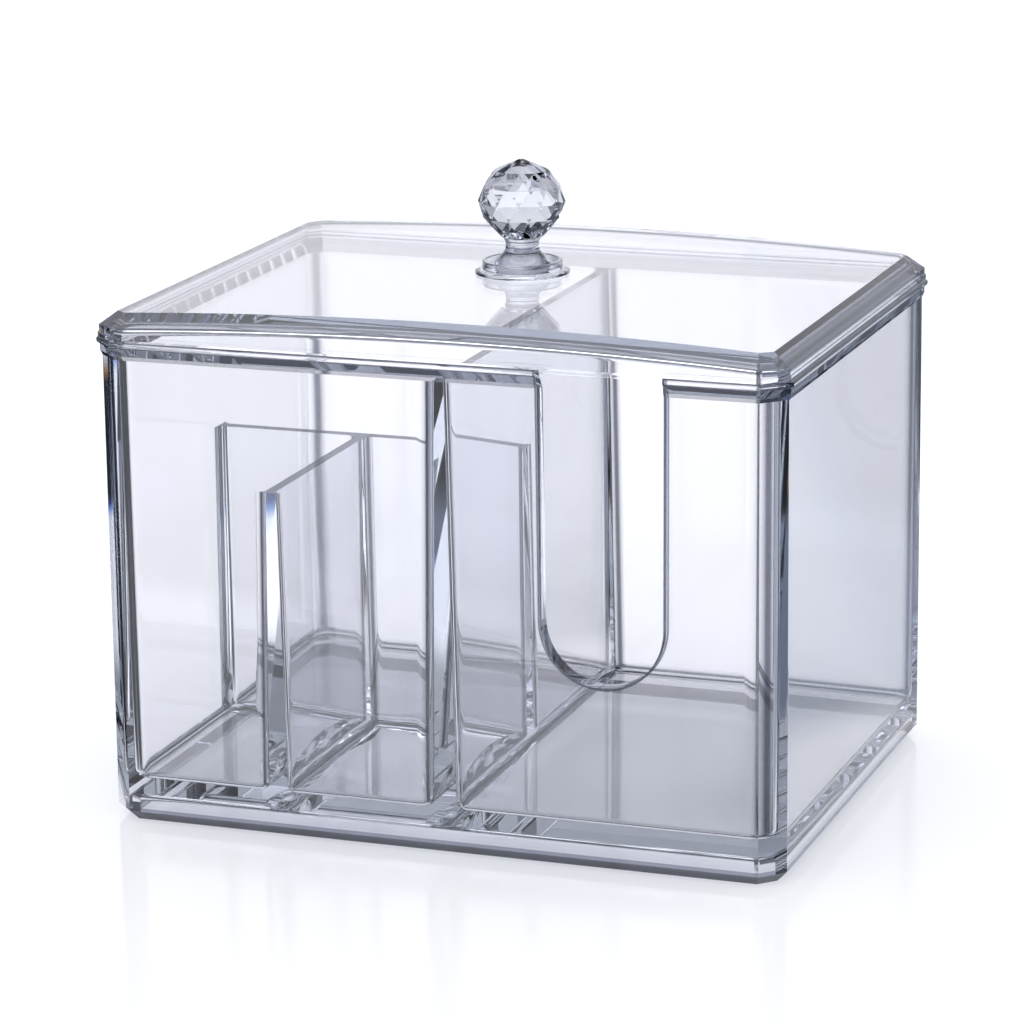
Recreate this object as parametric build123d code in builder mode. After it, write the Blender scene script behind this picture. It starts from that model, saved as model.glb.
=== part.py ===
from build123d import *
import math
import os

os.makedirs("parts", exist_ok=True)

# A clear cotton swab dispenser: a box moulded in one piece with its dividers, a loose arched lid, and a
# faceted knob on the lid. Millimetres. The origin is on the table under the middle of the box, +X runs to
# the right, -Y is the side with the swab slot, and +Z is up.

# Box, outside
wall_half_x = 66.5  # outer face of the two end walls
wall_half_y = 51.5  # outer face of the front and rear walls
corner_cut = 4.2  # leg of the 45 degree cut down each corner
foot_cut = 2.1  # 45 degree cut round the bottom edge
rim_z = 93.55  # top of the rim, where the lid rests

# Box, inside
wall = 3.25  # wall thickness just under the rim
wall_draft = 0.004  # sideways slope of the outer walls' inner faces, per millimetre of height
divider_draft = 0.0155  # the same for each face of an inner wall
seat_z = 89.5  # top of the full thickness wall and of the tall divider
floor_z = 8.05  # top of the floor
ceiling_z = 4.8  # top of the recess under the box
box_corner = 4.0  # inner radius at the four box corners
tall_junction = 2.65  # inner radius where the tall divider meets the outer walls
low_junction = 1.9  # inner radius where a low wall meets another wall
floor_round = 1.5  # radius round the floor of each compartment
ceiling_round = 1.1  # radius round the ceiling of the recess under the box

# Rim: a thin upstand round the lid's lip, with a small step and a rounded bead outside
rim_wall = 1.45  # thickness of the upstand
upstand_z = 92.2  # where the upstand starts to thicken
crest_inset = 0.1  # the rim's top falls inwards from here
crest_fall = 0.25
step_out = 0.4  # how far the zone under the bead stands out
step_low_z = 90.0
step_high_z = 90.8
bead_out = 1.0
bead_z = 92.2
bead_round = 0.6

# Dividers
divider_x = 0.65  # middle of the tall divider, which runs from front to rear
cross_y = -0.53  # middle of the low cross wall, from the left wall to the tall divider
middle_x = -32.75  # middle of the low divider between the two front pockets
tall_top = 1.9  # thickness of the tall divider along its top edge
cross_top = 2.4  # the same for the low cross wall
middle_top = 2.0  # the same for the low divider
low_wall_z = 66.3  # top of the two low walls

# Swab slot in the front wall of the right compartment
slot_x = 32.7
slot_centre_z = 46.7
slot_radius = 11.7
slot_half_top = 11.95  # half width at the rim

# Lid
seat_gap = 0.02  # the lid touches the crest of the rim only here and there
lid_half_x = 66.8
lid_half_y = 52.0
band_out = 0.25  # small band round the lid's lower edge
band_height = 0.95
lid_end_z = 98.1  # top of the lid at its two ends
lid_arch = 2.2  # how much higher the lid's middle is
bevel_in = 3.37  # width of the bevel, on the lid's top
bevel_down = 2.31  # height of the bevel, on the lid's sides
lid_wall = 3.3
lid_plate = 3.0
lid_inner_round = 1.2
lip_depth = 1.2  # the lip hangs inside the rim and locates the lid
lip_clearance = 0.3

# Knob
glue_line = 0.02
flange_radius = 9.05
flange_edge = 0.45
flange_height = 0.8
flange_top_radius = 7.9
foot_radius = 7.67
foot_wall = 0.85
foot_height = 1.6
foot_floor = 0.65
flare_radius = 5.5
flare_height = 3.3
neck_radius = 3.22
neck_low = 4.2
neck_high = 5.25
collar_radius = 3.45
stem_height = 5.93
ball_sides = 12
ball_centre_z = 114.05
ball_rings = ((8.05, 0.45), (6.0, 5.25), (3.0, 7.4), (0.0, 8.4), (-2.9, 7.5), (-6.6, 4.3), (-6.98, 3.7))

lid_z = rim_z + seat_gap
lid_top_z = lid_end_z + lid_arch
flange_z = lid_top_z + glue_line
stem_z = flange_z + flange_height + glue_line


def level_outline(half_x, half_y, spread, height):
    """A rectangle with 45 degree corners, moved outwards by spread, on the level plane at height."""
    leg = corner_cut + spread * (2 - math.sqrt(2))
    with BuildSketch(Plane.XY.offset(height)) as outline:
        Rectangle(2 * (half_x + spread), 2 * (half_y + spread))
        chamfer(outline.vertices(), length=leg)
    return outline.sketch.face()


def box_outline(spread, height):
    """The box's outer outline, moved outwards by spread."""
    return level_outline(wall_half_x, wall_half_y, spread, height)


def lid_outline(spread, height):
    """The lid's outer outline, moved outwards by spread."""
    return level_outline(lid_half_x, lid_half_y, spread, height)


def pocket_outline(x_range, y_range, radii, height):
    """A compartment's outline: a rectangle with one radius for each corner, from low x and y round."""
    with BuildSketch(Plane.XY.offset(height)) as outline:
        with BuildLine():
            FilletPolyline(
                (x_range[0], y_range[0]),
                (x_range[1], y_range[0]),
                (x_range[1], y_range[1]),
                (x_range[0], y_range[1]),
                radius=list(radii),
                close=True,
            )
        make_face()
    return outline.sketch.face()


def wall_slope(height):
    """How far an outer wall's inner face has come in at height, from its place at the wall's top."""
    return wall_draft * (seat_z - height)


def tall_slope(height):
    """How far a face of the tall divider has come out at height, from its place at the divider's top."""
    return divider_draft * (seat_z - height)


def low_wall_slope(height):
    """How far a low wall's face has come out at height, from its place at the low wall's top."""
    return divider_draft * (low_wall_z - height)


def inner_x(height):
    return wall_half_x - wall - wall_slope(height)


def inner_y(height):
    return wall_half_y - wall - wall_slope(height)


def divider_left(height):
    return divider_x - tall_top / 2 - tall_slope(height)


def divider_right(height):
    return divider_x + tall_top / 2 + tall_slope(height)


def right_compartment(height):
    radii = (tall_junction, box_corner, box_corner, tall_junction)
    return pocket_outline(
        (divider_right(height), inner_x(height)), (-inner_y(height), inner_y(height)), radii, height
    )


def left_upper_space(height):
    radii = (box_corner, tall_junction, tall_junction, box_corner)
    return pocket_outline(
        (-inner_x(height), divider_left(height)), (-inner_y(height), inner_y(height)), radii, height
    )


def rear_left_compartment(height):
    cross_rear = cross_y + cross_top / 2 + low_wall_slope(height)
    radii = (low_junction, low_junction, tall_junction, box_corner)
    return pocket_outline(
        (-inner_x(height), divider_left(height)), (cross_rear, inner_y(height)), radii, height
    )


def outer_front_pocket(height):
    cross_front = cross_y - cross_top / 2 - low_wall_slope(height)
    middle_left = middle_x - middle_top / 2 - low_wall_slope(height)
    radii = (box_corner, low_junction, low_junction, low_junction)
    return pocket_outline(
        (-inner_x(height), middle_left), (-inner_y(height), cross_front), radii, height
    )


def inner_front_pocket(height):
    cross_front = cross_y - cross_top / 2 - low_wall_slope(height)
    middle_right = middle_x + middle_top / 2 + low_wall_slope(height)
    radii = (low_junction, tall_junction, low_junction, low_junction)
    return pocket_outline(
        (middle_right, divider_left(height)), (-inner_y(height), cross_front), radii, height
    )


def above_arch(end_z, half_x):
    """The space over an arch along X that is lid_arch higher in its middle than at half_x."""
    arch_radius = (half_x**2 + lid_arch**2) / (2 * lid_arch)
    reach = half_x + 5
    reach_z = end_z + lid_arch - arch_radius + math.sqrt(arch_radius**2 - reach**2)
    high_z = end_z + lid_arch + 10
    with BuildSketch(Plane.XZ) as space:
        with BuildLine():
            ThreePointArc((-reach, reach_z), (0, end_z + lid_arch), (reach, reach_z))
            Polyline((reach, reach_z), (reach, high_z), (-reach, high_z), (-reach, reach_z))
        make_face()
    return space.sketch.face()


# Box body: the bead first, so that its edges can be rounded, then the walls, the compartments and the slot
with BuildPart() as box_body:
    extrude(box_outline(bead_out, bead_z), amount=rim_z - bead_z)
    fillet(box_body.edges().filter_by(Axis.Z, reverse=True), radius=bead_round)
    loft([box_outline(0, step_low_z), box_outline(step_out, step_high_z)], ruled=True)
    extrude(box_outline(step_out, step_high_z), amount=rim_z - step_high_z)
    loft([box_outline(-foot_cut, 0), box_outline(0, foot_cut)], ruled=True)
    extrude(box_outline(0, foot_cut), amount=rim_z - foot_cut)

    # Rim: the crest falls inwards, then the thin upstand, then the slope to the full wall
    crest = box_outline(-crest_inset, rim_z)
    upstand_top = box_outline(-rim_wall, rim_z - crest_fall)
    upstand_foot = box_outline(-rim_wall, upstand_z)
    full_wall = box_outline(-wall, seat_z)
    loft([upstand_top, crest], ruled=True, mode=Mode.SUBTRACT)
    extrude(upstand_foot, amount=rim_z - crest_fall - upstand_z, mode=Mode.SUBTRACT)
    loft([full_wall, upstand_foot], ruled=True, mode=Mode.SUBTRACT)

    # Compartments, from the floor up: each is a little wider at its top
    loft([right_compartment(floor_z), right_compartment(seat_z)], ruled=True, mode=Mode.SUBTRACT)
    loft([left_upper_space(low_wall_z), left_upper_space(seat_z)], ruled=True, mode=Mode.SUBTRACT)
    for pocket in (rear_left_compartment, outer_front_pocket, inner_front_pocket):
        loft([pocket(floor_z), pocket(low_wall_z)], ruled=True, mode=Mode.SUBTRACT)
    fillet(box_body.edges().filter_by_position(Axis.Z, floor_z - 0.01, floor_z + 0.01), radius=floor_round)

    # Recess under the floor
    extrude(box_outline(-wall, 0), amount=ceiling_z, mode=Mode.SUBTRACT)
    recess_edges = box_body.edges().filter_by_position(Axis.Z, ceiling_z - 0.01, ceiling_z + 0.01)
    fillet(recess_edges, radius=ceiling_round)

    # Swab slot, open at the rim
    with BuildSketch(Plane.XZ.offset(wall_half_y - 2 * wall)):
        with BuildLine():
            ThreePointArc(
                (slot_x - slot_radius, slot_centre_z),
                (slot_x, slot_centre_z - slot_radius),
                (slot_x + slot_radius, slot_centre_z),
            )
            Polyline(
                (slot_x + slot_radius, slot_centre_z),
                (slot_x + slot_half_top, rim_z + 1),
                (slot_x - slot_half_top, rim_z + 1),
                (slot_x - slot_radius, slot_centre_z),
            )
        make_face()
    extrude(amount=3 * wall, mode=Mode.SUBTRACT)

# Hollow of the lid: it follows the arch, and reaches down past the lip
with BuildPart() as lid_hollow:
    extrude(lid_outline(-lid_wall, lid_z - 2 * lip_depth), amount=lid_top_z - lid_z)
    extrude(above_arch(lid_end_z - lid_plate, lid_half_x), amount=lid_half_y, both=True, mode=Mode.SUBTRACT)
    hollow_top = lid_hollow.faces().sort_by(Axis.Z)[-1]
    fillet(hollow_top.edges(), radius=lid_inner_round)

# Lid: a plate with an arched top and a bevel all round, a band at its lower edge, and a locating lip
with BuildPart() as lid:
    extrude(lid_outline(0, lid_z), amount=lid_top_z - lid_z)
    extrude(above_arch(lid_end_z, lid_half_x), amount=lid_half_y + 1, both=True, mode=Mode.SUBTRACT)
    lid_top = lid.faces().sort_by(Axis.Z)[-1]
    chamfer(lid_top.edges(), length=bevel_in, length2=bevel_down, reference=lid_top)
    extrude(lid_outline(band_out, lid_z), amount=band_height)
    extrude(box_outline(-rim_wall - lip_clearance, lid_z - lip_depth), amount=2 * lip_depth)
    add(lid_hollow.part, mode=Mode.SUBTRACT)

# Flange of the knob: a thin disc with a sloping edge, on the middle of the lid
with BuildPart() as knob_flange:
    with BuildSketch(Plane.XZ):
        with BuildLine():
            Polyline(
                (0, flange_z),
                (flange_radius, flange_z),
                (flange_radius, flange_z + flange_edge),
                (flange_top_radius, flange_z + flange_height),
                (0, flange_z + flange_height),
                close=True,
            )
        make_face()
    revolve(axis=Axis.Z)

# Stem of the knob: a shallow cup for its foot, a flare, a waisted neck and a collar
with BuildPart() as knob_stem:
    with BuildSketch(Plane.XZ):
        with BuildLine():
            Polyline(
                (neck_radius, stem_z + neck_high),
                (collar_radius, stem_z + neck_high + 0.2),
                (collar_radius, stem_z + stem_height),
                (0, stem_z + stem_height),
                (0, stem_z),
                (foot_radius, stem_z),
                (foot_radius, stem_z + foot_height),
                (foot_radius - foot_wall, stem_z + foot_height),
                (foot_radius - foot_wall, stem_z + foot_floor),
                (flare_radius, stem_z + foot_floor),
            )
            Spline(
                (flare_radius, stem_z + foot_floor),
                (neck_radius + 0.9, stem_z + flare_height - 0.8),
                (neck_radius, stem_z + neck_low),
                tangents=((-0.4, 1), (0, 1)),
            )
            Line((neck_radius, stem_z + neck_low), (neck_radius, stem_z + neck_high))
        make_face()
    revolve(axis=Axis.Z)
    rim_edges = knob_stem.edges().filter_by_position(
        Axis.Z, stem_z + foot_height - 0.01, stem_z + foot_height + 0.01
    )
    fillet(rim_edges, radius=foot_wall * 0.35)

# Ball of the knob: rings of corners, each turned half a step from the last, with flat facets between
ball_corners = []
for ring_number, (ring_height, ring_radius) in enumerate(ball_rings):
    for side in range(ball_sides):
        turn = 2 * math.pi * (side + 0.5 * (ring_number % 2)) / ball_sides
        ball_corners.append(
            (ring_radius * math.cos(turn), ring_radius * math.sin(turn), ball_centre_z + ring_height)
        )
with BuildPart() as knob_ball:
    ConvexPolyhedron(ball_corners)

box_body.part.label = "box_body"
lid.part.label = "lid"
knob_flange.part.label = "knob_flange"
knob_stem.part.label = "knob_stem"
knob_ball.part.label = "knob_ball"

export_step(box_body.part, "parts/box_body.step")
export_step(lid.part, "parts/lid.step")
export_step(knob_flange.part, "parts/knob_flange.step")
export_step(knob_stem.part, "parts/knob_stem.step")
export_step(knob_ball.part, "parts/knob_ball.step")
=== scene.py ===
"""Looks of a clear cotton swab dispenser: a lidded box with compartments and a faceted knob."""

import logging
import math
from dataclasses import dataclass, field
from enum import Enum

import bmesh
import bpy
import numpy as np
from mathutils import Matrix, Vector


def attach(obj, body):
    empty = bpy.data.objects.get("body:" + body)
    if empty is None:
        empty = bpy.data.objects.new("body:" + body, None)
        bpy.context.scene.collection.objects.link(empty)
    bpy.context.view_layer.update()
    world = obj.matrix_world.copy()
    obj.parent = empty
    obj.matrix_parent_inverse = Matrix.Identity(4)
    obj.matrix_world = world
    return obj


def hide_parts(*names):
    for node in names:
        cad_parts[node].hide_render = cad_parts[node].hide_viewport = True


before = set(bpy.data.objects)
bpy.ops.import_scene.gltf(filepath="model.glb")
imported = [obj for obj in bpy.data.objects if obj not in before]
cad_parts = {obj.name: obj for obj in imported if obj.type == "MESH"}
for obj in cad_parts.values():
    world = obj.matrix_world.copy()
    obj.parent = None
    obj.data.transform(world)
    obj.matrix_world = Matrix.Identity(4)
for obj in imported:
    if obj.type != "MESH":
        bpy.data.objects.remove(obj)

MM = 0.001
PHOTO_PIXELS = 1024
SENSOR_MM = 36.0
BOUNCES = 64
CLEAR_WALLS = 32
TURN = "turn"
FLAT_SPREAD = 0.002
UPRIGHT_REACH = 0.05
WHITE = (1.0, 1.0, 1.0)
Colour = tuple[float, float, float]
Socket = bpy.types.NodeSocket
Tree = bpy.types.NodeTree

# For each choice of divided sides (0-1, 1-2, 2-0), the smaller triangles: 0 to 2 are corners, 3 to 5 middles
SPLIT_PATTERNS = {
    (False, False, False): ((0, 1, 2),),
    (True, False, False): ((0, 3, 2), (3, 1, 2)),
    (False, True, False): ((0, 1, 4), (0, 4, 2)),
    (False, False, True): ((0, 1, 5), (5, 1, 2)),
    (True, True, False): ((0, 3, 2), (3, 1, 4), (3, 4, 2)),
    (False, True, True): ((0, 1, 4), (0, 4, 5), (5, 4, 2)),
    (True, False, True): ((0, 3, 5), (3, 1, 2), (3, 2, 5)),
    (True, True, True): ((0, 3, 5), (3, 1, 4), (5, 4, 2), (3, 4, 5)),
}

log = logging.getLogger("dispenser")


class Ray(Enum):
    """The kinds of ray that the floor, the backdrop and the clear plastic answer in different ways."""

    CAMERA = "Is Camera Ray"
    SHADOW = "Is Shadow Ray"
    DIFFUSE = "Is Diffuse Ray"
    GLOSSY = "Is Glossy Ray"
    TRANSMISSION = "Is Transmission Ray"


class Slot(Enum):
    """The record's material slots."""

    BOX = "clear_box"
    LID = "clear_lid"
    KNOB = "clear_knob"


def new_material(name: str) -> tuple[bpy.types.Material, Tree]:
    """Start a node material with nothing in its tree but the output.

    Args:
        name: The material's name.

    Returns:
        The material and its empty node tree.
    """
    material = bpy.data.materials.new(name)
    material.use_nodes = True
    tree = material.node_tree
    tree.nodes.clear()
    return material, tree


def math_node(tree: Tree, operation: str, first: object, second: object = 0.0) -> Socket:
    """Add a Math node.

    Args:
        tree: The tree to add it to.
        operation: The Math node's operation.
        first: A number or an output socket.
        second: A number or an output socket.

    Returns:
        The node's output.
    """
    node = tree.nodes.new("ShaderNodeMath")
    node.operation = operation
    for socket, value in zip(node.inputs, (first, second)):
        if isinstance(value, Socket):
            tree.links.new(value, socket)
        else:
            socket.default_value = value
    return node.outputs[0]


def rest_of(tree: Tree, share: Socket) -> Socket:
    """Take a share from 1."""
    return math_node(tree, "SUBTRACT", 1.0, share)


def mix_colours(tree: Tree, share: Socket, first: Socket, second: object, blend: str = "MIX") -> Socket:
    """Add a Mix node for two colours.

    Args:
        tree: The tree to add it to.
        share: How much of the second colour there is.
        first: The first colour's socket.
        second: A colour or an output socket.
        blend: How the second colour is laid over the first.

    Returns:
        The mixed colour's socket.
    """
    node = tree.nodes.new("ShaderNodeMix")
    node.data_type = "RGBA"
    node.blend_type = blend
    tree.links.new(share, node.inputs["Factor"])
    tree.links.new(first, node.inputs["A"])
    if isinstance(second, Socket):
        tree.links.new(second, node.inputs["B"])
    else:
        node.inputs["B"].default_value = (*second, 1.0)
    return node.outputs["Result"]


def ray_mask(tree: Tree, *rays: Ray) -> Socket:
    """Make a value that is 1 for the given kinds of ray and 0 for the rest.

    Args:
        tree: The tree to add the nodes to.
        rays: The kinds of ray.

    Returns:
        The value's socket.
    """
    path = tree.nodes.new("ShaderNodeLightPath")
    mask = path.outputs[rays[0].value]
    for ray in rays[1:]:
        mask = math_node(tree, "MAXIMUM", mask, path.outputs[ray.value])
    return mask


def reflected_mask(tree: Tree, times: int = 1) -> Socket:
    """Make a value that is 1 for rays reflected off or inside something clear or glossy on their way.

    Args:
        tree: The tree to add the nodes to.
        times: How often they were reflected at least.

    Returns:
        The value's socket, which is 0 for all other rays.
    """
    path = tree.nodes.new("ShaderNodeLightPath")
    reflected = math_node(tree, "GREATER_THAN", path.outputs["Glossy Depth"], times - 0.5)
    return math_node(tree, "MULTIPLY", reflected, ray_mask(tree, Ray.GLOSSY, Ray.TRANSMISSION))


def set_ways(mesh: bpy.types.Mesh, ways: np.ndarray, slope_shade_share: float) -> None:
    """Give a mesh the direction of its surface, and an attribute of how far that is turned from the walls,
    which places the painted shade.

    Args:
        mesh: The mesh.
        ways: The surface's direction at each face's corners.
        slope_shade_share: How much a flat slope counts, beside the rounded faces, which count in full.
    """
    turn = 1.0 - np.abs(ways).max(axis=2)
    flat = np.ptp(ways, axis=1).max(axis=1) < FLAT_SPREAD
    upright = np.abs(ways[..., 2]).max(axis=1) < UPRIGHT_REACH
    # flat slopes get a share of the painted shade, flat upright walls none
    turn[flat] *= slope_shade_share
    turn[flat & upright] = 0.0
    mesh.shade_smooth()
    mesh.normals_split_custom_set(ways.reshape(-1, 3).tolist())
    attribute = mesh.attributes.new(TURN, "FLOAT", "CORNER")
    attribute.data.foreach_set("value", turn.reshape(-1).astype(np.float32))


def soft_step(tree: Tree, value: Socket, start: float, end: float) -> Socket:
    """Make a value that rises smoothly from 0 to 1 as another one rises.

    Args:
        tree: The tree to add the node to.
        value: The value that rises.
        start: Where the result is still 0.
        end: Where the result is 1.

    Returns:
        The result's socket.
    """
    node = tree.nodes.new("ShaderNodeMapRange")
    node.interpolation_type = "SMOOTHSTEP"
    node.inputs["From Min"].default_value = start
    node.inputs["From Max"].default_value = end
    tree.links.new(value, node.inputs["Value"])
    return node.outputs[0]


@dataclass(frozen=True)
class MouldedSurface:
    """The shader group of the clear mouldings.

    It holds slow waves, the faint stress colours that they carry, and a painted shade on rounded and bevelled
    places: a slate colour that stands in for their dark lines, and grows with how far the surface is turned
    from the walls.
    """

    name: str = "moulded surface"
    # where the painted shade of turned places begins and where it is full
    turn_range: tuple[float, float] = (0.015, 0.24)
    wave_detail: float = 1.0
    stress_scale: float = 0.8
    stress_detail: float = 1.5
    stress_distortion: float = 0.6
    stress_start: Colour = (1.0, 0.75, 0.85)

    def build(self) -> Tree:
        """Build the group once, and hand back the same one after that.

        Returns:
            The node group, which makes a colour and a height from a tint, a painted shade, a wave size and a
            stress share.
        """
        if self.name in bpy.data.node_groups:
            return bpy.data.node_groups[self.name]
        group = bpy.data.node_groups.new(self.name, "ShaderNodeTree")
        for label, direction, kind in (
            ("Tint", "INPUT", "Color"),
            ("Wave Size", "INPUT", "Float"),
            ("Stress Colour", "INPUT", "Float"),
            ("Turn Tint", "INPUT", "Color"),
            ("Colour", "OUTPUT", "Color"),
            ("Height", "OUTPUT", "Float"),
        ):
            group.interface.new_socket(label, in_out=direction, socket_type="NodeSocket" + kind)
        nodes, links = group.nodes, group.links
        inlet = nodes.new("NodeGroupInput")
        outlet = nodes.new("NodeGroupOutput")
        place = nodes.new("ShaderNodeTexCoord")
        scaled = nodes.new("ShaderNodeVectorMath")
        scaled.operation = "DIVIDE"
        size = nodes.new("ShaderNodeCombineXYZ")
        for axis in range(3):
            links.new(inlet.outputs["Wave Size"], size.inputs[axis])
        links.new(place.outputs["Object"], scaled.inputs[0])
        links.new(size.outputs[0], scaled.inputs[1])
        waves, stress = (nodes.new("ShaderNodeTexNoise") for _ in range(2))
        for noise, scale, detail, distortion in (
            (waves, 1.0, self.wave_detail, 0.0),
            (stress, self.stress_scale, self.stress_detail, self.stress_distortion),
        ):
            noise.inputs["Scale"].default_value = scale
            noise.inputs["Detail"].default_value = detail
            noise.inputs["Distortion"].default_value = distortion
            links.new(scaled.outputs[0], noise.inputs["Vector"])
        hue = nodes.new("ShaderNodeHueSaturation")
        hue.inputs["Color"].default_value = (*self.stress_start, 1.0)
        links.new(stress.outputs["Fac"], hue.inputs["Hue"])
        turned = nodes.new("ShaderNodeAttribute")
        turned.attribute_name = TURN
        # painted shade: turned places take the slate colour, which stands in for their dark lines
        bend = soft_step(group, turned.outputs["Fac"], *self.turn_range)
        colour = mix_colours(group, bend, inlet.outputs["Tint"], inlet.outputs["Turn Tint"])
        share = inlet.outputs["Stress Colour"]
        colour = mix_colours(group, share, colour, hue.outputs["Color"], "MULTIPLY")
        links.new(colour, outlet.inputs["Colour"])
        links.new(waves.outputs["Fac"], outlet.inputs["Height"])
        return group


@dataclass(frozen=True)
class PaintedBoxShade:
    """The box's painted shade: dark lines painted on the slot's edges, the cut round the foot and the walls'
    tops, and painted shadow on the floor.
    """

    name: str = "box lines"
    slot_x: float = 32.7 * MM
    slot_centre_height: float = 46.7 * MM
    slot_radius: float = 11.7 * MM
    widening: float = 0.00522
    edge_start: tuple[float, float] = (0.02 * MM, 0.05 * MM)
    edge_end: tuple[float, float] = (0.36 * MM, 0.50 * MM)
    front: float = -46.0 * MM
    foot: tuple[float, float] = (2.02 * MM, 2.16 * MM)
    wall_tops: tuple[float, float] = (66.3 * MM, 89.5 * MM)
    floor_top: float = 8.05 * MM
    level_reach: float = 0.03 * MM
    level_least: float = 0.9

    def build(self) -> Tree:
        """Build the group once, and hand back the same one after that.

        Returns:
            The node group, with masks for the painted shade on the slot's edges, the foot and the tops, and
            the painted shadow on the floor, as outputs.
        """
        if self.name in bpy.data.node_groups:
            return bpy.data.node_groups[self.name]
        group = bpy.data.node_groups.new(self.name, "ShaderNodeTree")
        for output in ("Slot Edges", "Foot", "Wall Tops", "Floor"):
            group.interface.new_socket(output, in_out="OUTPUT", socket_type="NodeSocketFloat")
        nodes, links = group.nodes, group.links
        place = nodes.new("ShaderNodeTexCoord")
        split = nodes.new("ShaderNodeSeparateXYZ")
        links.new(place.outputs["Object"], split.inputs[0])
        x, y, z = split.outputs
        across = math_node(group, "ABSOLUTE", math_node(group, "SUBTRACT", x, self.slot_x))
        over = math_node(group, "SUBTRACT", z, self.slot_centre_height)
        above = math_node(group, "MAXIMUM", over, 0.0)
        below = math_node(group, "MINIMUM", over, 0.0)
        inward = math_node(group, "SUBTRACT", across, math_node(group, "MULTIPLY", above, self.widening))
        squares = [math_node(group, "MULTIPLY", side, side) for side in (inward, below)]
        reach = math_node(group, "SQRT", math_node(group, "ADD", *squares))
        off = math_node(group, "SUBTRACT", reach, self.slot_radius)
        begun = soft_step(group, off, *self.edge_start)
        edge = math_node(group, "MULTIPLY", begun, rest_of(group, soft_step(group, off, *self.edge_end)))
        in_front = math_node(group, "LESS_THAN", y, self.front)
        outlet = nodes.new("NodeGroupOutput")
        links.new(math_node(group, "MULTIPLY", edge, in_front), outlet.inputs[0])
        links.new(rest_of(group, soft_step(group, z, *self.foot)), outlet.inputs[1])
        facing = nodes.new("ShaderNodeSeparateXYZ")
        links.new(nodes.new("ShaderNodeNewGeometry").outputs["True Normal"], facing.inputs[0])
        upward = math_node(group, "ABSOLUTE", facing.outputs[2])
        level = math_node(group, "GREATER_THAN", upward, self.level_least)
        at_height = []
        for height in (*self.wall_tops, self.floor_top):
            gap = math_node(group, "ABSOLUTE", math_node(group, "SUBTRACT", z, height))
            close = math_node(group, "LESS_THAN", gap, self.level_reach)
            at_height.append(math_node(group, "MULTIPLY", close, level))
        links.new(math_node(group, "ADD", *at_height[:2]), outlet.inputs[2])
        links.new(at_height[2], outlet.inputs[3])
        return group


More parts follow.
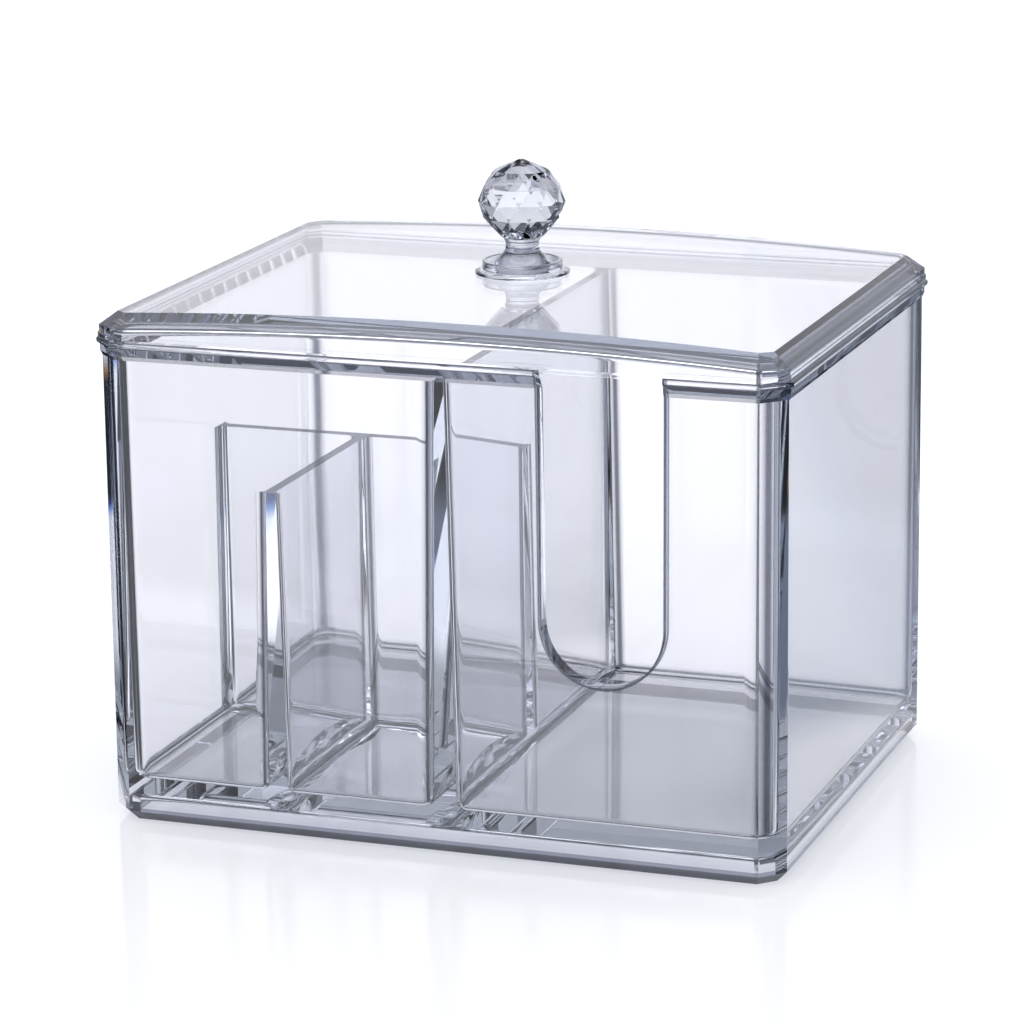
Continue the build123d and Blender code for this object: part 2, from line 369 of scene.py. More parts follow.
@dataclass(frozen=True)
class ClearPlastic:
    """Clear moulded plastic with a faint cool tint, which deepens where light runs a long way inside it, and
    with painted shade on its turned places and along its darkest lines.
    """

    name: str
    tint: Colour = (0.935, 0.94, 0.963)
    # painted shade of rounded and bevelled places
    painted_turn_shade: Colour = (0.10, 0.115, 0.165)
    depth_colour: Colour = (0.30, 0.35, 0.44)
    depth_density: float = 13.0
    ior: float = 1.5
    roughness: float = 0.0
    wave_size: float = 22 * MM
    wave_height: float = 0.004 * MM
    stress_colour: float = 0.03
    shade: Colour = (0.83, 0.84, 0.87)
    lines: PaintedBoxShade | None = None
    # painted shade on the slot's edges, the foot cut and the walls' tops, and painted shadow on the floor
    painted_slot_edge_shade: Colour = (0.06, 0.07, 0.10)
    painted_foot_shade: Colour = (0.20, 0.21, 0.27)
    painted_top_shade: Colour = (0.07, 0.08, 0.11)
    painted_floor_shadow: Colour = (0.60, 0.61, 0.60)

    def paint_line_shade(self, tree: Tree, colour: Socket) -> Socket:
        """Paint shade into the colour along the darkest lines, and a painted shadow on the floor, if the
        piece has them.

        Args:
            tree: The material's tree.
            colour: The colour elsewhere.

        Returns:
            The colour's socket.
        """
        if not self.lines:
            return colour
        group = tree.nodes.new("ShaderNodeGroup")
        group.node_tree = self.lines.build()
        # multiply each painted shade in where its mask is
        painted_shades = (self.painted_slot_edge_shade, self.painted_foot_shade, self.painted_top_shade, self.painted_floor_shadow)
        for mask, tint in zip(group.outputs, painted_shades):
            colour = mix_colours(tree, mask, colour, tint, "MULTIPLY")
        return colour

    def build(self) -> bpy.types.Material:
        """Build the material.

        Returns:
            A Principled glass, which shadow and diffuse rays pass straight through as a plain tint.
        """
        if self.name in bpy.data.materials:
            return bpy.data.materials[self.name]
        material, tree = new_material(self.name)
        nodes, links = tree.nodes, tree.links
        surface = nodes.new("ShaderNodeGroup")
        surface.node_tree = MouldedSurface().build()
        surface.inputs["Tint"].default_value = (*self.tint, 1.0)
        surface.inputs["Turn Tint"].default_value = (*self.painted_turn_shade, 1.0)
        surface.inputs["Wave Size"].default_value = self.wave_size
        surface.inputs["Stress Colour"].default_value = self.stress_colour
        bump = nodes.new("ShaderNodeBump")
        bump.inputs["Strength"].default_value = 1.0
        bump.inputs["Distance"].default_value = self.wave_height
        links.new(surface.outputs["Height"], bump.inputs["Height"])
        plastic = nodes.new("ShaderNodeBsdfPrincipled")
        plastic.inputs["Transmission Weight"].default_value = 1.0
        plastic.inputs["Metallic"].default_value = 0.0
        plastic.inputs["IOR"].default_value = self.ior
        plastic.inputs["Roughness"].default_value = self.roughness
        links.new(self.paint_line_shade(tree, surface.outputs["Colour"]), plastic.inputs["Base Color"])
        links.new(bump.outputs["Normal"], plastic.inputs["Normal"])
        through = nodes.new("ShaderNodeBsdfTransparent")
        through.inputs["Color"].default_value = (*self.shade, 1.0)
        mix = nodes.new("ShaderNodeMixShader")
        links.new(ray_mask(tree, Ray.SHADOW, Ray.DIFFUSE), mix.inputs[0])
        links.new(plastic.outputs[0], mix.inputs[1])
        links.new(through.outputs[0], mix.inputs[2])
        inside = nodes.new("ShaderNodeVolumeAbsorption")
        inside.inputs["Color"].default_value = (*self.depth_colour, 1.0)
        inside.inputs["Density"].default_value = self.depth_density
        output = nodes.new("ShaderNodeOutputMaterial")
        links.new(mix.outputs[0], output.inputs["Surface"])
        links.new(inside.outputs[0], output.inputs["Volume"])
        return material


@dataclass(frozen=True)
class Sector:
    """A part of the horizon, with soft sides."""

    azimuth: float
    full: float
    end: float

    def mask(self, tree: Tree, bearing: Socket) -> Socket:
        """Make a value that is 1 inside the sector and 0 outside.

        Args:
            tree: The tree to add the nodes to.
            bearing: The bearing from +Y towards +X, in radians.

        Returns:
            The value's socket.
        """
        turned = math_node(tree, "SUBTRACT", bearing, math.radians(self.azimuth))
        full, end = (math.cos(math.radians(angle)) for angle in (self.full, self.end))
        return soft_step(tree, math_node(tree, "COSINE", turned), end, full)


@dataclass(frozen=True)
class GlossyFloor:
    """A glossy white table top that looks white to the camera and keeps shadows and reflections.

    Rays reflected more than once on their way see a white strip that runs back from the box, between dark
    cards, with a second strip and a grey card further right. Those reflected once see a dark card there, and
    a grey one on the right. Both see a grey card beside the box on the right, and a white card in front. The
    cards give the edges their light and dark lines. The strips' sides are coloured, for the way the plastic
    spreads colours there.
    """

    name: str = "glossy white floor"
    colour: Colour = (0.80, 0.80, 0.81)
    lift: float = 0.16
    roughness: float = 0.12
    card_start: tuple[float, float] = (0.085, 0.11)
    strip_azimuth: float = -20.0
    strip_reach: float = 0.3
    strip: tuple[tuple[float, Colour], ...] = (
        (-0.30, (0.012, 0.014, 0.020)),
        (-0.105, (0.012, 0.014, 0.020)),
        (-0.098, (0.40, 0.26, 0.16)),
        (-0.090, (2.10, 2.12, 2.16)),
        (0.072, (2.10, 2.12, 2.16)),
        (0.077, (0.70, 1.05, 1.80)),
        (0.082, (0.10, 0.15, 0.60)),
        (0.087, (0.016, 0.018, 0.024)),
        (0.180, (0.016, 0.018, 0.024)),
        (0.190, (0.90, 0.52, 0.22)),
        (0.202, (1.50, 1.50, 1.55)),
        (0.240, (0.36, 0.40, 0.49)),
        (0.30, (0.36, 0.40, 0.49)),
    )
    grey_card: Colour = (0.36, 0.40, 0.49)
    plain_card: Colour = (0.26, 0.29, 0.36)
    dark_card: Colour = (0.016, 0.018, 0.024)
    strip_start: tuple[float, float] = (0.14, 0.18)
    right_start: tuple[float, float] = (0.06, 0.10)
    white_card: Colour = (1.5, 1.55, 1.65)
    white_sector: Sector = Sector(195.0, 26.0, 44.0)

    def add_cards(self, tree: Tree) -> tuple[Socket, Socket]:
        """Add the strip and the cards that only reflected rays see.

        Args:
            tree: The material's tree.

        Returns:
            Where they are, and what they look like.
        """
        nodes, links = tree.nodes, tree.links
        place = nodes.new("ShaderNodeNewGeometry").outputs["Position"]
        split = nodes.new("ShaderNodeSeparateXYZ")
        links.new(place, split.inputs[0])
        bearing = math_node(tree, "ARCTAN2", split.outputs[0], split.outputs[1])
        distance = nodes.new("ShaderNodeVectorMath")
        distance.operation = "LENGTH"
        links.new(place, distance.inputs[0])
        away = soft_step(tree, distance.outputs["Value"], *self.card_start)
        turn = math.radians(self.strip_azimuth)
        aside, along = (nodes.new("ShaderNodeVectorMath") for _ in range(2))
        for node, way in (
            (aside, (math.cos(turn), -math.sin(turn), 0.0)),
            (along, (math.sin(turn), math.cos(turn), 0.0)),
        ):
            node.operation = "DOT_PRODUCT"
            links.new(place, node.inputs[0])
            node.inputs[1].default_value = way
        share = nodes.new("ShaderNodeMapRange")
        share.inputs["From Min"].default_value = -self.strip_reach
        share.inputs["From Max"].default_value = self.strip_reach
        links.new(aside.outputs["Value"], share.inputs["Value"])
        ramp = nodes.new("ShaderNodeValToRGB")
        links.new(share.outputs[0], ramp.inputs["Fac"])
        stops = ramp.color_ramp.elements
        while len(stops) < len(self.strip):
            stops.new(1.0)
        for stop, (where, card) in zip(stops, self.strip):
            stop.position = (where / self.strip_reach + 1) / 2
            stop.color = (*card, 1.0)
        right = soft_step(tree, aside.outputs["Value"], *self.right_start)
        beside = rest_of(tree, soft_step(tree, along.outputs["Value"], *self.strip_start))
        colour = ramp.outputs["Color"]
        once = rest_of(tree, reflected_mask(tree, 2))
        for mask, card in (
            (once, self.dark_card),
            (math_node(tree, "MULTIPLY", right, once), self.plain_card),
            (math_node(tree, "MULTIPLY", right, beside), self.grey_card),
            (self.white_sector.mask(tree, bearing), self.white_card),
        ):
            colour = mix_colours(tree, mask, colour, card)
        glow = nodes.new("ShaderNodeEmission")
        links.new(colour, glow.inputs["Color"])
        return math_node(tree, "MULTIPLY", away, reflected_mask(tree)), glow.outputs[0]

    def build(self) -> bpy.types.Material:
        """Build the material.

        Returns:
            A pale Principled surface with a little light of its own, and the cards.
        """
        material, tree = new_material(self.name)
        nodes, links = tree.nodes, tree.links
        top = nodes.new("ShaderNodeBsdfPrincipled")
        top.inputs["Base Color"].default_value = (*self.colour, 1.0)
        top.inputs["Roughness"].default_value = self.roughness
        glow = nodes.new("ShaderNodeEmission")
        glow.inputs["Color"].default_value = (*WHITE, 1.0)
        seen = ray_mask(tree, Ray.CAMERA, Ray.GLOSSY, Ray.TRANSMISSION)
        links.new(math_node(tree, "MULTIPLY", seen, self.lift), glow.inputs["Strength"])
        both = nodes.new("ShaderNodeAddShader")
        links.new(top.outputs[0], both.inputs[0])
        links.new(glow.outputs[0], both.inputs[1])
        where, cards = self.add_cards(tree)
        mix = nodes.new("ShaderNodeMixShader")
        links.new(where, mix.inputs[0])
        links.new(both.outputs[0], mix.inputs[1])
        links.new(cards, mix.inputs[2])
        output = nodes.new("ShaderNodeOutputMaterial")
        links.new(mix.outputs[0], output.inputs["Surface"])
        return material


@dataclass(frozen=True)
class Light:
    """A bright part of the sky: a sector of it, or all round, up to a height."""

    level: float
    sector: Sector | None
    height: tuple[float, float]

    def value(self, tree: Tree, bearing: Socket, height: Socket) -> Socket:
        """Make the light's strength in each direction.

        Args:
            tree: The world's tree.
            bearing: The direction's bearing.
            height: The sine of the direction's elevation.

        Returns:
            The strength's socket.
        """
        value = soft_step(tree, height, *self.height)
        if self.sector:
            value = math_node(tree, "MULTIPLY", self.sector.mask(tree, bearing), rest_of(tree, value))
        return math_node(tree, "MULTIPLY", value, self.level)


@dataclass
class Studio:
    """The white floor, and the light: a white backdrop, a soft box above, another in front, and a dim room.

    The camera and diffuse surfaces see white all round. Only clear and glossy surfaces see the backdrop, the
    soft boxes and the dim room, which give them their light and dark lines. A low grey glow all round is for
    plain reflections alone, so that a flat wall or the lid's top isn't dark from any side.
    """

    floor_radius: float = 4.0
    floor_sides: int = 96
    room: Colour = (0.022, 0.026, 0.036)
    cool: Colour = (0.95, 0.965, 1.02)
    horizon: tuple[float, float] = (0.05, 0.12)
    lights: tuple[Light, ...] = (
        Light(1.0, Sector(-17.0, 24.0, 46.0), (0.26, 0.52)),
        Light(2.00, Sector(195.0, 24.0, 50.0), (0.62, 0.84)),
        Light(2.80, None, (0.77, 0.88)),
    )
    glow: float = 0.50
    glow_height: tuple[float, float] = (0.22, 0.42)
    floor: GlossyFloor = field(default_factory=GlossyFloor)

    def make_floor(self) -> None:
        """Make the round white floor under the object."""
        mesh = bpy.data.meshes.new("floor")
        shape = bmesh.new()
        bmesh.ops.create_circle(shape, cap_ends=True, segments=self.floor_sides, radius=self.floor_radius)
        shape.to_mesh(mesh)
        shape.free()
        mesh.materials.append(self.floor.build())
        floor = bpy.data.objects.new("floor", mesh)
        bpy.context.scene.collection.objects.link(floor)

    def light_world(self) -> None:
        """Light the scene from all round, and show clear surfaces the backdrop, soft boxes and room."""
        world = bpy.data.worlds.new("studio")
        world.use_nodes = True
        tree = world.node_tree
        tree.nodes.clear()
        nodes, links = tree.nodes, tree.links
        place = nodes.new("ShaderNodeTexCoord")
        split = nodes.new("ShaderNodeSeparateXYZ")
        links.new(place.outputs["Generated"], split.inputs[0])
        east, north, height = split.outputs
        bearing = math_node(tree, "ARCTAN2", east, north)
        ring = rest_of(tree, soft_step(tree, height, *self.horizon))
        strength = math_node(tree, "MULTIPLY", ring, rest_of(tree, reflected_mask(tree)))
        low = rest_of(tree, soft_step(tree, height, *self.glow_height))
        once = math_node(tree, "SUBTRACT", reflected_mask(tree), reflected_mask(tree, 2))
        glow = math_node(tree, "MULTIPLY", math_node(tree, "MULTIPLY", low, once), self.glow)
        strength = math_node(tree, "MAXIMUM", strength, glow)
        for light in self.lights:
            strength = math_node(tree, "MAXIMUM", strength, light.value(tree, bearing, height))
        seen = nodes.new("ShaderNodeCombineXYZ")
        for axis, (level, share) in enumerate(zip(self.room, self.cool)):
            coloured = math_node(tree, "MULTIPLY", strength, share)
            links.new(math_node(tree, "MAXIMUM", coloured, level), seen.inputs[axis])
        light = nodes.new("ShaderNodeBackground")
        plain = ray_mask(tree, Ray.CAMERA, Ray.DIFFUSE)
        links.new(mix_colours(tree, plain, seen.outputs[0], WHITE), light.inputs["Color"])
        output = nodes.new("ShaderNodeOutputWorld")
        links.new(light.outputs[0], output.inputs["Surface"])
        bpy.context.scene.world = world

    def build(self) -> None:
        """Build the floor and the light."""
        self.make_floor()
        self.light_world()
        log.info("studio: floor, backdrop, soft boxes and room")


@dataclass
class PhotoCamera:
    """The camera, fitted to the edges of the box and the lid."""

    yaw: float = 19.86
    pitch: float = 14.49
    roll: float = -0.70
    distance: float = 812.3 * MM
    target: tuple[float, float, float] = (-2.91 * MM, 0.0, 52.67 * MM)
    focal_pixels: float = 4185.2
    centre_x: float = 511.18
    clip: tuple[float, float] = (0.01, 50.0)

    def build(self) -> None:
        """Make the camera and make it the scene's camera."""
        yaw, pitch, roll = (math.radians(a) for a in (self.yaw, self.pitch, self.roll))
        back = Vector(
            (math.sin(yaw) * math.cos(pitch), -math.cos(yaw) * math.cos(pitch), math.sin(pitch))
        )
        right = Vector((math.cos(yaw), math.sin(yaw), 0.0))
        up = back.cross(right)
        turned_right = math.cos(roll) * right + math.sin(roll) * up
        turned_up = -math.sin(roll) * right + math.cos(roll) * up
        data = bpy.data.cameras.new("photo_camera")
        data.sensor_width = SENSOR_MM
        data.lens = self.focal_pixels / PHOTO_PIXELS * SENSOR_MM
        data.shift_x = (PHOTO_PIXELS / 2 - self.centre_x) / PHOTO_PIXELS
        data.clip_start, data.clip_end = self.clip
        camera = bpy.data.objects.new("photo_camera", data)
        turn = Matrix((turned_right, turned_up, back)).transposed()
        camera.matrix_world = Matrix.Translation(Vector(self.target) + back * self.distance) @ turn.to_4x4()
        bpy.context.scene.collection.objects.link(camera)
        bpy.context.scene.camera = camera


@dataclass
class FineCopy:
    """A finer copy of a node's mesh: its curved faces are divided, and the new corners put on the curve.

    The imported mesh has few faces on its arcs, but its corners carry the surface's true direction. An edge
    whose ends point different ways is bent to suit both, its middle becomes a new corner, and the triangles
    beside it are divided there.
    """

    node: str
    levels: int = 3
    least_rise: float = 0.0006 * MM
    same_place: float = 0.001 * MM
    same_way: float = 0.9995
    # share of the painted shade that flat slopes get
    slope_shade_share: float = 0.8
    least_square: float = 1e-18
    least_length: float = 1e-12

    def read(self) -> tuple[np.ndarray, np.ndarray, np.ndarray]:
        """Read the node's triangles, with corners at one place made one.

        Returns:
            The corners' places, the triangles' corner numbers, and the surface's direction at each
            triangle's corners.
        """
        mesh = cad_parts[self.node].data
        places = np.empty(len(mesh.vertices) * 3, np.float32)
        mesh.vertices.foreach_get("co", places)
        places = places.reshape(-1, 3).astype(float)
        corners = np.empty(len(mesh.loops), np.int32)
        mesh.loops.foreach_get("vertex_index", corners)
        ways = np.empty(len(mesh.loops) * 3, np.float32)
        mesh.corner_normals.foreach_get("vector", ways)
        keys = np.round(places / self.same_place).astype(np.int64)
        _, first, merged = np.unique(keys, axis=0, return_index=True, return_inverse=True)
        triangles = merged.reshape(-1)[corners].reshape(-1, 3)
        ways = ways.reshape(-1, 3, 3).astype(float)
        whole = (triangles[:, 0] != triangles[:, 1]) & (triangles[:, 1] != triangles[:, 2])
        whole &= triangles[:, 2] != triangles[:, 0]
        return places[first], triangles[whole], ways[whole]

    def edge_rises(
        self, places: np.ndarray, triangles: np.ndarray, ways: np.ndarray
    ) -> tuple[np.ndarray, np.ndarray, np.ndarray]:
        """Work out how far the middle of each edge has to rise.

        Args:
            places: The corners' places.
            triangles: Each triangle's corner numbers.
            ways: The surface's direction at each triangle's corners.

        Returns:
            The edges' two corner numbers, each triangle side's edge number, and each edge's rise.
        """
        following = np.roll(triangles, -1, axis=1)
        pairs = np.sort(np.stack([triangles, following], -1).reshape(-1, 2), axis=1)
        edges, number = np.unique(pairs, axis=0, return_inverse=True)
        number = number.reshape(-1)
        start, end = places[triangles].reshape(-1, 3), places[following].reshape(-1, 3)
        way, next_way = ways.reshape(-1, 3), np.roll(ways, -1, axis=1).reshape(-1, 3)
        along = end - start
        lean = np.sum(along * way, axis=1, keepdims=True)
        next_lean = -np.sum(along * next_way, axis=1, keepdims=True)
        rise = -(lean * way + next_lean * next_way) / 8
        middle_way = way + next_way
        middle_way /= np.linalg.norm(middle_way, axis=1, keepdims=True)
        height = np.sum(rise * middle_way, axis=1)
        order = np.argsort(number, kind="stable")
        _, place, count = np.unique(number[order], return_index=True, return_counts=True)
        one, other = order[place], order[np.minimum(place + 1, len(order) - 1)]
        other = np.where(count > 1, other, one)
        likeness = np.sum(middle_way[one] * middle_way[other], axis=1)
        smooth = np.abs(likeness) > self.same_way
        spare = np.where(smooth, 1.0, 1.0 - likeness**2)
        first_part = (height[one] - likeness * height[other]) / spare
        second_part = (height[other] - likeness * height[one]) / spare
        both = first_part[:, None] * middle_way[one] + second_part[:, None] * middle_way[other]
        mean = (height[one] + height[other])[:, None] * middle_way[one] / 2
        return edges, number.reshape(-1, 3), np.where(smooth[:, None], mean, both)

    def divide(
        self, places: np.ndarray, triangles: np.ndarray, ways: np.ndarray
    ) -> tuple[np.ndarray, np.ndarray, np.ndarray]:
        """Divide the triangles once, at the edges that bend.

        Args:
            places: The corners' places.
            triangles: Each triangle's corner numbers.
            ways: The surface's direction at each triangle's corners.

        Returns:
            The same three for the finer mesh.
        """
        edges, number, rise = self.edge_rises(places, triangles, ways)
        bent = np.linalg.norm(rise, axis=1) > self.least_rise
        new_number = np.full(len(edges), -1)
        new_number[bent] = len(places) + np.arange(bent.sum())
        middles = places[edges[bent]].mean(axis=1) + rise[bent]
        middle_ways = ways + np.roll(ways, -1, axis=1)
        along = places[np.roll(triangles, -1, axis=1)] - places[triangles]
        tip = 2 * np.sum(along * middle_ways, axis=2, keepdims=True)
        tip = tip / np.maximum(np.sum(along * along, axis=2, keepdims=True), self.least_square)
        middle_ways = middle_ways - tip * along
        middle_ways /= np.maximum(np.linalg.norm(middle_ways, axis=2, keepdims=True), self.least_length)
        points = np.concatenate([triangles, new_number[number]], axis=1)
        point_ways = np.concatenate([ways, middle_ways], axis=1)
        halves = points[:, 3:] >= 0
        new_triangles, new_ways = [], []
        for pattern, pieces in SPLIT_PATTERNS.items():
            here = (halves == np.array(pattern)).all(axis=1)
            for piece in pieces:
                new_triangles.append(points[here][:, piece])
                new_ways.append(point_ways[here][:, piece])
        return (
            np.concatenate([places, middles]),
            np.concatenate(new_triangles),
            np.concatenate(new_ways),
        )

    def build(self) -> bpy.types.Mesh:
        """Make the finer mesh.

        Returns:
            The mesh, with the surface's direction kept at each corner.
        """
        shape = self.read()
        low, high = shape[0].min(axis=0), shape[0].max(axis=0)
        for _ in range(self.levels):
            shape = self.divide(*shape)
        places, triangles, ways = shape
        places = np.clip(places, low, high)
        mesh = bpy.data.meshes.new(self.node + "_clear")
        mesh.from_pydata(places.tolist(), [], triangles.tolist())
        set_ways(mesh, ways, self.slope_shade_share)
        return mesh


@dataclass
class Moulding:
    """A clear moulding: a finer copy of its node, with its finish."""

    node: str
    body: str
    slot: Slot
    finish: ClearPlastic

    def build(self) -> None:
        """Make the finer copy, and let it stand for its node."""
        mesh = FineCopy(self.node).build()
        mesh.materials.append(self.finish.build())
        piece = bpy.data.objects.new(mesh.name, mesh)
        bpy.context.scene.collection.objects.link(piece)
        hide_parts(self.node)
        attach(piece, self.body)
        log.info("%s: %d faces, finish %s", piece.name, len(mesh.polygons), self.finish.name)


@dataclass
class KnobBall:
    """The faceted ball: the hull of rings of points, each ring turned half a step from the last.

    A ring is its height from the ball's centre and its radius, in millimetres.
    """

    finish: ClearPlastic
    sides: int = 12
    centre_height: float = 114.05 * MM
    rings: tuple[tuple[float, float], ...] = (
        (8.05, 0.45),
        (6.0, 5.25),
        (3.0, 7.4),
        (0.0, 8.4),
        (-2.9, 7.5),
        (-6.6, 4.3),
        (-6.98, 3.7),
    )

    def input_names(self, number: int) -> tuple[str, str]:
        """Name a ring's two inputs, its height and its radius."""
        return f"Ring {number} Height", f"Ring {number} Radius"

    def make_tree(self) -> Tree:
        """Build the node tree that turns the rings into the cut ball.

        Returns:
            The tree, with the number of sides and each ring's height and radius as inputs.
        """
        tree = bpy.data.node_groups.new("cut ball", "GeometryNodeTree")
        interface = tree.interface
        interface.new_socket("Geometry", in_out="OUTPUT", socket_type="NodeSocketGeometry")
        interface.new_socket("Sides", in_out="INPUT", socket_type="NodeSocketInt")
        interface.new_socket("Centre Height", in_out="INPUT", socket_type="NodeSocketFloat")
        for number in range(len(self.rings)):
            for name in self.input_names(number):
                interface.new_socket(name, in_out="INPUT", socket_type="NodeSocketFloat")
        interface.new_socket("Finish", in_out="INPUT", socket_type="NodeSocketMaterial")
        nodes, links = tree.nodes, tree.links
        inlet = nodes.new("NodeGroupInput")
        half_step = math_node(tree, "DIVIDE", math.pi, inlet.outputs["Sides"])
        joined = nodes.new("GeometryNodeJoinGeometry")
        for number in range(len(self.rings)):
            height, radius = (inlet.outputs[name] for name in self.input_names(number))
            ring = nodes.new("GeometryNodeMeshCircle")
            links.new(inlet.outputs["Sides"], ring.inputs["Vertices"])
            links.new(radius, ring.inputs["Radius"])
            place = nodes.new("ShaderNodeCombineXYZ")
            links.new(math_node(tree, "ADD", inlet.outputs["Centre Height"], height), place.inputs["Z"])
            turn = nodes.new("ShaderNodeCombineXYZ")
            if number % 2:
                links.new(half_step, turn.inputs["Z"])
            moved = nodes.new("GeometryNodeTransform")
            links.new(ring.outputs["Mesh"], moved.inputs["Geometry"])
            links.new(place.outputs[0], moved.inputs["Translation"])
            links.new(turn.outputs[0], moved.inputs["Rotation"])
            links.new(moved.outputs[0], joined.inputs[0])
        hull = nodes.new("GeometryNodeConvexHull")
        real = nodes.new("GeometryNodeRealizeInstances")
        dressed = nodes.new("GeometryNodeSetMaterial")
        outlet = nodes.new("NodeGroupOutput")
        links.new(joined.outputs[0], hull.inputs[0])
        links.new(hull.outputs[0], real.inputs[0])
        links.new(real.outputs[0], dressed.inputs["Geometry"])
        links.new(inlet.outputs["Finish"], dressed.inputs["Material"])
        links.new(dressed.outputs[0], outlet.inputs[0])
        return tree

    def set_inputs(self, modifier: bpy.types.NodesModifier) -> None:
        """Give the tree its sizes and its finish.

        Args:
            modifier: The modifier that holds the tree.
        """
        values = {"Sides": self.sides, "Centre Height": self.centre_height, "Finish": self.finish.build()}
        for number, ring in enumerate(self.rings):
            for name, value in zip(self.input_names(number), ring):
                values[name] = value * MM
        for item in modifier.node_group.interface.items_tree:
            if item.in_out == "INPUT":
                modifier[item.identifier] = values[item.name]

    def build(self) -> None:
        """Cut the ball, and let it stand for its node."""
        start = bpy.data.objects.new("cut_ball_start", bpy.data.meshes.new("cut_ball_start"))
        bpy.context.scene.collection.objects.link(start)
        modifier = start.modifiers.new("cut ball", "NODES")
        modifier.node_group = self.make_tree()
        self.set_inputs(modifier)
        evaluated = start.evaluated_get(bpy.context.evaluated_depsgraph_get())
        mesh = bpy.data.meshes.new_from_object(evaluated)
        bpy.data.objects.remove(start)
        mesh.name = "crystal_ball"
        mesh.shade_flat()
        ball = bpy.data.objects.new("crystal_ball", mesh)
        bpy.context.scene.collection.objects.link(ball)
        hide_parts("knob_ball")
        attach(ball, "lid")
        log.info("crystal_ball: %d facets, %d corners", len(mesh.polygons), len(mesh.vertices))


@dataclass
class Box:
    """The box: one moulding with its dividers, rim, slot and foot."""

    # near-black painted shade on the box's turned places, and its painted lines and painted floor shadow
    finish: ClearPlastic = field(
        default_factory=lambda: ClearPlastic("clear box", painted_turn_shade=(0.035, 0.04, 0.06), lines=PaintedBoxShade())
    )

    def build(self) -> None:
        """Dress the box."""
        Moulding("box_body", "box", Slot.BOX, self.finish).build()


@dataclass(frozen=True)
class Loop:
    """A level loop round the lid: a rectangle with 45 degree corners, which may follow the arch.

    The two ways are those of the surface below and above the loop, as shares outwards and upwards.
    """

    half: tuple[float, float]
    leg: float
    height: float
    arched: bool
    after: tuple[float, float]
    before: tuple[float, float]


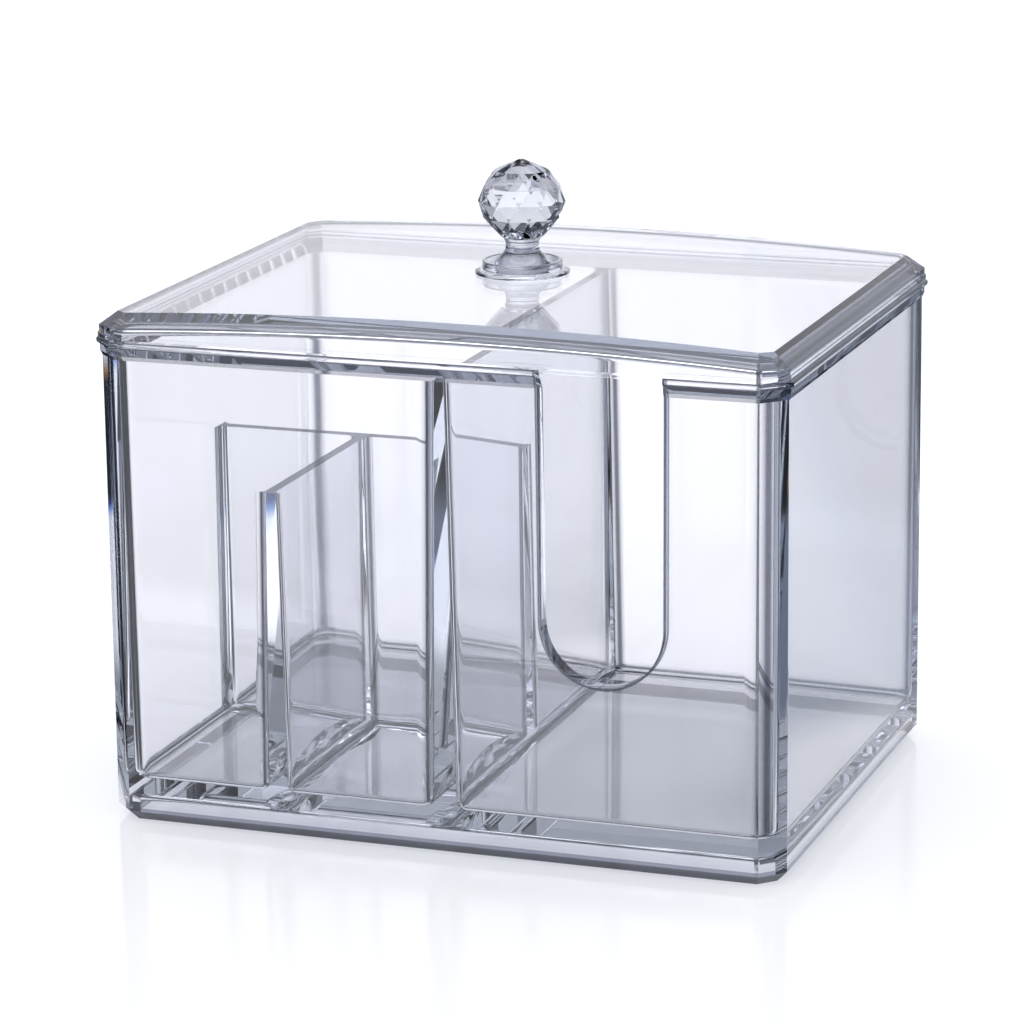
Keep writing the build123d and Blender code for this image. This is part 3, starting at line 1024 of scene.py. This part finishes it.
@dataclass
class Lid:
    """The lid: an arched plate with a bevel all round, a band at its edge, a hollow and a locating lip.

    Its sizes are in millimetres.
    """

    half: tuple[float, float] = (66.8, 52.0)
    corner_cut: float = 4.2
    seat_height: float = 93.57
    end_height: float = 98.1
    arch: float = 2.2
    band: tuple[float, float] = (0.25, 0.95)
    bevel: tuple[float, float] = (3.37, 2.31)
    lip_half: tuple[float, float] = (64.75, 49.75)
    lip_cut: float = 3.175
    lip_depth: float = 1.2
    wall: float = 3.3
    plate: float = 3.0
    inner_round: float = 1.2
    round_steps: int = 12
    arch_steps: int = 120
    cut_steps: int = 4
    # share of the painted shade that flat slopes get
    slope_shade_share: float = 1.0
    # the lid keeps the default painted shade on its bevel and rounds
    finish: ClearPlastic = field(
        default_factory=lambda: ClearPlastic("clear lid", depth_density=14.0, wave_height=0.0005 * MM)
    )

    def rise(self, across: np.ndarray) -> tuple[np.ndarray, np.ndarray]:
        """Work out the arch.

        Args:
            across: Places along X, in millimetres.

        Returns:
            How high the arch stands over the lid's ends there, and its slope.
        """
        radius = (self.half[0] ** 2 + self.arch**2) / (2 * self.arch)
        reach = np.sqrt(radius**2 - across**2)
        return self.arch - radius + reach, -across / reach

    def loop(
        self,
        inset: float,
        height: float,
        arched: bool,
        after: tuple[float, float],
        before: tuple[float, float] | None = None,
    ) -> Loop:
        """Make a loop parallel to the lid's outline.

        Args:
            inset: How far the loop lies inside the outline.
            height: Its height at the lid's ends.
            arched: Whether it follows the arch.
            after: The way of the surface that follows the loop.
            before: The way of the surface before it, where that differs from the way after.

        Returns:
            The loop.
        """
        half = (self.half[0] - inset, self.half[1] - inset)
        leg = self.corner_cut - inset * (2 - math.sqrt(2))
        return Loop(half, leg, height, arched, after, before or after)

    def loops(self) -> list[Loop]:
        """List the loops that the lid's surface runs through.

        Returns:
            The loops from the edge of the top, over the outside and round the lip, to the ceiling.
        """
        seat, low = self.seat_height, self.seat_height - self.lip_depth
        band_out, band_height = self.band
        bevel_in, bevel_down = self.bevel
        size = math.hypot(bevel_in, bevel_down)
        slant = (bevel_down / size, bevel_in / size)
        up, out, down, inside = (0.0, 1.0), (1.0, 0.0), (0.0, -1.0), (-1.0, 0.0)
        lip = (self.lip_half, self.lip_cut)
        loops = [
            self.loop(bevel_in, self.end_height, True, slant, up),
            self.loop(0.0, self.end_height - bevel_down, True, out, slant),
            self.loop(0.0, seat + band_height, False, up, out),
            self.loop(-band_out, seat + band_height, False, out, up),
            self.loop(-band_out, seat, False, down, out),
            Loop(*lip, seat, False, out, down),
            Loop(*lip, low, False, down, out),
            self.loop(self.wall, low, False, inside, down),
        ]
        ceiling = self.end_height - self.plate
        for step in range(self.round_steps + 1):
            turn = math.pi / 2 * step / self.round_steps
            inset = self.wall + self.inner_round * (1 - math.cos(turn))
            height = ceiling - self.inner_round * (1 - math.sin(turn))
            way = (-math.cos(turn), -math.sin(turn))
            loops.append(self.loop(inset, height, True, way))
        return loops

    def stations(self, loop: Loop) -> tuple[np.ndarray, np.ndarray]:
        """Work out a loop's corners along its front.

        Args:
            loop: The loop.

        Returns:
            Their places along X, and how far each lies in front of the middle.
        """
        straight = loop.half[0] - loop.leg
        cut = np.linspace(0.0, loop.leg, self.cut_steps + 1)[1:]
        across = np.linspace(-straight, straight, self.arch_steps + 1)
        across = np.concatenate([-straight - cut[::-1], across, straight + cut])
        away = loop.half[1] - np.maximum(np.abs(across) - straight, 0.0)
        return across, away

    def ring_points(self, loop: Loop) -> np.ndarray:
        """Work out a loop's corners all round.

        Args:
            loop: The loop.

        Returns:
            Their places, along the front to the right and back along the rear.
        """
        across, away = self.stations(loop)
        height = np.full_like(across, loop.height)
        if loop.arched:
            height += self.rise(across)[0]
        front = np.stack([across, -away, height], axis=1)
        rear = np.stack([across, away, height], axis=1)
        return np.concatenate([front, rear[::-1]])

    def side_ways(self) -> np.ndarray:
        """List which way each side of a loop faces.

        Returns:
            The ways on the level plane, in the order of a loop's corners.
        """
        corner = math.sqrt(0.5)
        front = [(-corner, -corner)] * self.cut_steps + [(0.0, -1.0)] * self.arch_steps
        front += [(corner, -corner)] * self.cut_steps
        rear = [(x, -y) for x, y in reversed(front)]
        return np.array([*front, (1.0, 0.0), *rear, (-1.0, 0.0)])

    def tilted(self, places: np.ndarray, ways: np.ndarray) -> np.ndarray:
        """Tilt the ways of the surface to suit the arch.

        Args:
            places: The corners' places.
            ways: The surface's way at each of them, as if there were no arch.

        Returns:
            The tilted ways, each of length 1.
        """
        slope = self.rise(places[..., 0])[1]
        ways = ways.copy()
        ways[..., 0] -= slope * ways[..., 2]
        return ways / np.linalg.norm(ways, axis=-1, keepdims=True)

    def build_mesh(self) -> bpy.types.Mesh:
        """Make the lid's mesh.

        Returns:
            The closed mesh, with the surface's direction kept at each corner.
        """
        loops = self.loops()
        rings = np.stack([self.ring_points(loop) for loop in loops])
        count = rings.shape[1]
        numbers = np.arange(rings.size // 3).reshape(len(loops), count)
        level = self.side_ways()
        faces, ways = [], []
        for first, (loop, following) in enumerate(zip(loops, loops[1:])):
            here, there = numbers[first], numbers[first + 1]
            quads = np.stack([here, np.roll(here, -1), np.roll(there, -1), there], axis=1)
            upper, lower = (
                np.concatenate([level * way[0], np.full((count, 1), way[1])], axis=1)
                for way in (loop.after, following.before)
            )
            quad_ways = np.stack([upper, upper, lower, lower], axis=1)
            faces.append(quads)
            ways.append(self.tilted(rings.reshape(-1, 3)[quads], quad_ways))
        for ring, way in ((numbers[0], 1.0), (numbers[-1], -1.0)):
            front, rear = ring[: count // 2], ring[: count // 2 - 1 : -1]
            quads = np.stack([front[:-1], front[1:], rear[1:], rear[:-1]], axis=1)
            quad_ways = np.zeros((len(quads), 4, 3))
            quad_ways[..., 2] = way
            faces.append(quads)
            ways.append(self.tilted(rings.reshape(-1, 3)[quads], quad_ways))
        places = rings.reshape(-1, 3)
        faces, ways = np.concatenate(faces), np.concatenate(ways)
        middle = places[faces]
        flat_way = np.cross(middle[:, 2] - middle[:, 0], middle[:, 3] - middle[:, 1])
        inside_out = np.sum(flat_way * ways.sum(axis=1), axis=1) < 0
        faces[inside_out] = faces[inside_out, ::-1]
        ways[inside_out] = ways[inside_out, ::-1]
        mesh = bpy.data.meshes.new("arched_lid")
        mesh.from_pydata((places * MM).tolist(), [], faces.tolist())
        set_ways(mesh, ways, self.slope_shade_share)
        return mesh

    def build(self) -> None:
        """Make the lid, and let it stand for its node."""
        mesh = self.build_mesh()
        mesh.materials.append(self.finish.build())
        piece = bpy.data.objects.new("arched_lid", mesh)
        bpy.context.scene.collection.objects.link(piece)
        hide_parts("lid")
        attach(piece, "lid")
        log.info("%s: %d faces, finish %s", piece.name, len(mesh.polygons), self.finish.name)


@dataclass
class Knob:
    """The knob: its flange, its turned stem and its faceted ball."""

    finish: ClearPlastic = field(
        default_factory=lambda: ClearPlastic(
            "knob crystal",
            tint=(0.91, 0.92, 0.945),
            # mild painted shade on the knob's turned places
            painted_turn_shade=(0.55, 0.57, 0.64),
            depth_density=20.0,
            wave_height=0.0,
        )
    )

    def build(self) -> None:
        """Dress the turned pieces and cut the ball."""
        for node in ("knob_flange", "knob_stem"):
            Moulding(node, "lid", Slot.KNOB, self.finish).build()
        KnobBall(self.finish).build()


def set_light_paths() -> None:
    """Let light through as many clear walls as lie behind one another in the box."""
    cycles = bpy.context.scene.cycles
    cycles.max_bounces = BOUNCES
    cycles.transmission_bounces = BOUNCES
    cycles.glossy_bounces = BOUNCES
    cycles.transparent_max_bounces = CLEAR_WALLS
    cycles.caustics_reflective = False


def main() -> None:
    """Build the studio, the camera and the dispenser."""
    logging.basicConfig(level=logging.INFO, format="%(name)s: %(message)s")
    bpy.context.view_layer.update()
    bpy.context.scene.view_settings.view_transform = "Standard"
    set_light_paths()
    PhotoCamera().build()
    Studio().build()
    Box().build()
    Lid().build()
    Knob().build()


if __name__ == "__main__":
    main()
